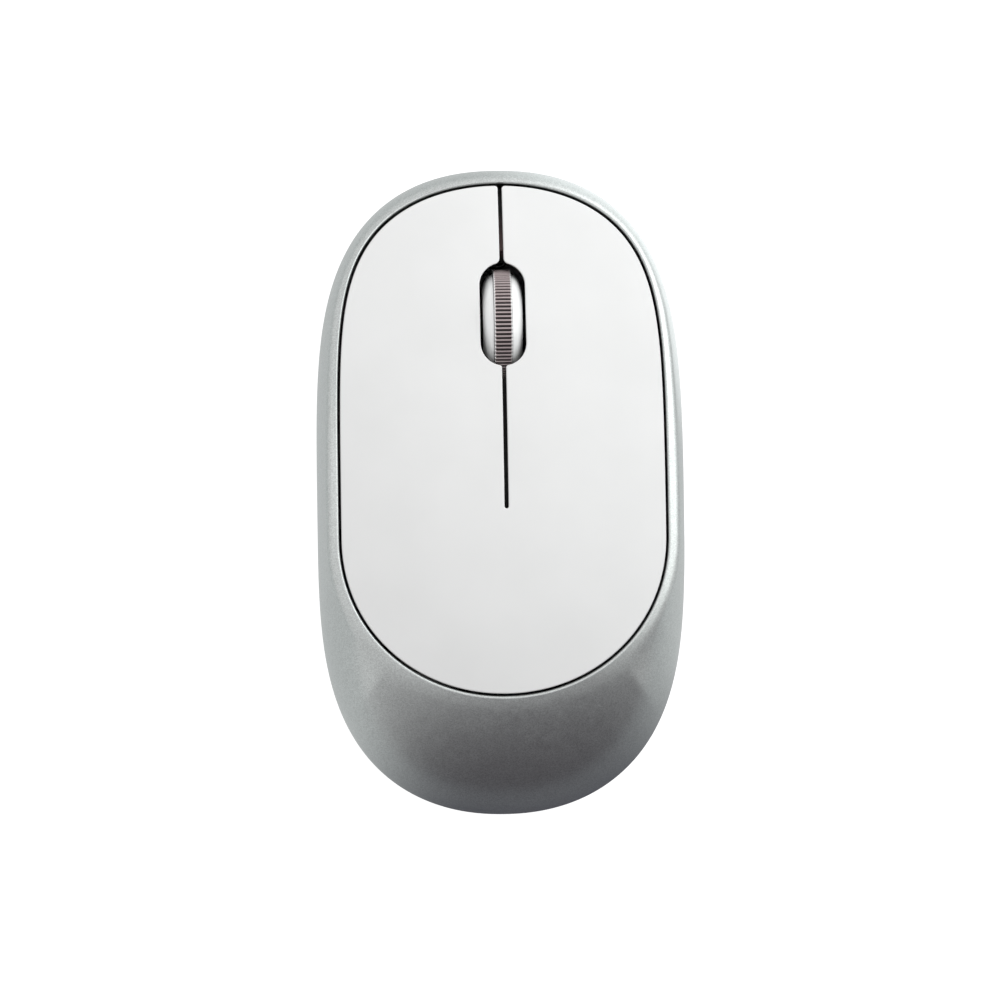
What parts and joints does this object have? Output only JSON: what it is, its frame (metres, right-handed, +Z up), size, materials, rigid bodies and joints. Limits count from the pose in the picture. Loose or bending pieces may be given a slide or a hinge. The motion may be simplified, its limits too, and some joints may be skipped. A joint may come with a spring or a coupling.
{
  "type": "computer mouse",
  "caption": "Slim wireless optical mouse: silver shell, white top plate slit into two keys, knurled clickable scroll wheel, cell bay and plug-in receiver below.",
  "frame": {"origin": "on the desk plane, under the middle of the mouse's length and width", "axes": "+X to the user's right, +Y forward to the keys' end, +Z up from the desk"},
  "size_m": [0.0614, 0.108, 0.03],
  "materials": {
    "silver_paint": "satin metallic silver paint on moulded plastic",
    "white_plate": "matte white moulded plastic, fine texture",
    "black_frame": "black moulded plastic",
    "base_plastic": "light grey moulded plastic, finely textured",
    "foot_ptfe": "slippery low-friction pad",
    "zinc_steel": "zinc-plated steel",
    "black_steel": "blackened steel",
    "clear_lens": "clear moulded polycarbonate",
    "green_board": "solder-masked glass-epoxy board",
    "chip_epoxy": "moulded epoxy package",
    "red_led": "red-tinted epoxy lens",
    "crystal_can": "drawn steel can",
    "capacitor_sleeve": "printed sleeve, plain",
    "switch_black": "black switch case",
    "plunger_red": "red switch plunger",
    "plunger_ivory": "ivory switch plunger",
    "wheel_silver": "bright silver-coated plastic",
    "band_grey": "gunmetal knurled band",
    "ir_blue": "pale clear epoxy package",
    "cell_jacket": "plain cell sleeve over a steel can",
    "wire_black": "insulated lead",
    "plug_steel": "nickel-plated steel",
    "tongue_white": "white plug insert"
  },
  "bodies": {
    "housing": {"shell": "silver_paint", "inner_deck": "black_frame", "palm_cover": "white_plate", "base_tray": "base_plastic", "glide_feet": "foot_ptfe", "case_screws": "black_steel", "sensor_lens": "clear_lens", "power_switch": "zinc_steel", "circuit_board": "green_board", "sensor_chip": "chip_epoxy", "sensor_led": "red_led", "radio_chip": "chip_epoxy", "crystal": "crystal_can", "capacitors": "capacitor_sleeve", "board_screws": "zinc_steel", "left_switch": "switch_black", "right_switch": "switch_black", "middle_switch": "switch_black", "carrier_spring": "black_steel", "ir_emitter": "ir_blue", "ir_detector": "chip_epoxy", "battery_cell": "cell_jacket", "positive_contact": "zinc_steel", "negative_contact": "zinc_steel", "battery_wire": "wire_black"},
    "left_key": {"left_key": "white_plate"},
    "right_key": {"right_key": "white_plate"},
    "left_plunger": {"left_plunger": "plunger_red"},
    "right_plunger": {"right_plunger": "plunger_red"},
    "middle_plunger": {"middle_plunger": "plunger_ivory"},
    "carrier": {"wheel_carrier": "black_frame"},
    "wheel": {"wheel_barrel": "wheel_silver", "wheel_band": "band_grey", "wheel_hub": "black_frame", "wheel_axle": "zinc_steel"},
    "power_slider": {"power_slider": "black_frame"},
    "battery_door": {"battery_door": "base_plastic"},
    "receiver": {"receiver_head": "black_frame", "receiver_plug": "plug_steel", "receiver_tongue": "tongue_white"}
  },
  "joints": [
    {"name": "left_key_press", "type": "hinge", "parent": "housing", "child": "left_key", "pos_m": [0, -0.0024, 0.0297], "axis": [-1, 0, 0], "range_deg": [0, 0.9], "stiffness_Nm_per_rad": 1.5, "springref_deg": -0.17},
    {"name": "right_key_press", "type": "hinge", "parent": "housing", "child": "right_key", "pos_m": [0, -0.0024, 0.0297], "axis": [-1, 0, 0], "range_deg": [0, 0.9], "stiffness_Nm_per_rad": 1.5, "springref_deg": -0.17},
    {"name": "left_plunger_travel", "type": "slide", "parent": "housing", "child": "left_plunger", "axis": [0, 0, -1], "range_m": [0, 0.00065]},
    {"name": "right_plunger_travel", "type": "slide", "parent": "housing", "child": "right_plunger", "axis": [0, 0, -1], "range_m": [0, 0.00065]},
    {"name": "wheel_click", "type": "hinge", "parent": "housing", "child": "carrier", "pos_m": [0, 0.0158, 0.0116], "axis": [-1, 0, 0], "range_deg": [0, 2], "stiffness_Nm_per_rad": 0.5, "springref_deg": -0.57, "deforming": ["carrier_spring"]},
    {"name": "middle_plunger_travel", "type": "slide", "parent": "housing", "child": "middle_plunger", "axis": [0, 0, -1], "range_m": [0, 0.00028]},
    {"name": "wheel_spin", "type": "hinge", "parent": "carrier", "child": "wheel", "pos_m": [0.0004, 0.0275, 0.0172], "axis": [1, 0, 0], "continuous": true},
    {"name": "power_slide", "type": "slide", "parent": "housing", "child": "power_slider", "axis": [0, 1, 0], "range_m": [0, 0.0024]},
    {"name": "battery_door_lift", "type": "slide", "parent": "housing", "child": "battery_door", "axis": [0, 0, -1], "range_m": [0, 0.02]},
    {"name": "receiver_pull", "type": "slide", "parent": "housing", "child": "receiver", "axis": [0, 0, -1], "range_m": [0, 0.02]}
  ],
  "couplings": [
    {"joint": "left_plunger_travel", "follows": "left_key_press", "m_per_rad": 0.0404},
    {"joint": "right_plunger_travel", "follows": "right_key_press", "m_per_rad": 0.0404},
    {"joint": "middle_plunger_travel", "follows": "wheel_click", "m_per_rad": 0.0077}
  ]
}
